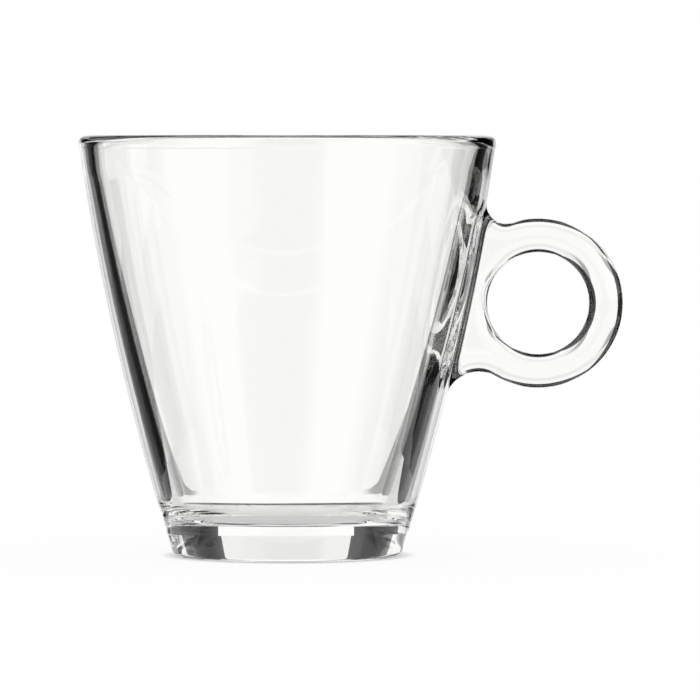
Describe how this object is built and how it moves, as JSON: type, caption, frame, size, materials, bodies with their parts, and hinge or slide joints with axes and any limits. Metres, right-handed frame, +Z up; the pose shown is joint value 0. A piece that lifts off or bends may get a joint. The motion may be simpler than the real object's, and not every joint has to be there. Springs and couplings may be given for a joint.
{
  "type": "tea glass",
  "caption": "Clear pressed-glass tea glass: a flared, slightly swelling bowl on a thick solid base, with a flat ring handle fused to its side for one finger.",
  "frame": {"origin": "centre of the underside of the bowl, on the table", "axes": "+Z up along the axis of the bowl, +X from that axis towards the handle"},
  "size_m": [0.1121, 0.086, 0.0865],
  "materials": {
    "bowl_glass": "fire polished, clear",
    "handle_glass": "fire polished, clear"
  },
  "bodies": {
    "root": {"bowl": "bowl_glass", "ring_handle": "handle_glass"}
  },
  "joints": []
}
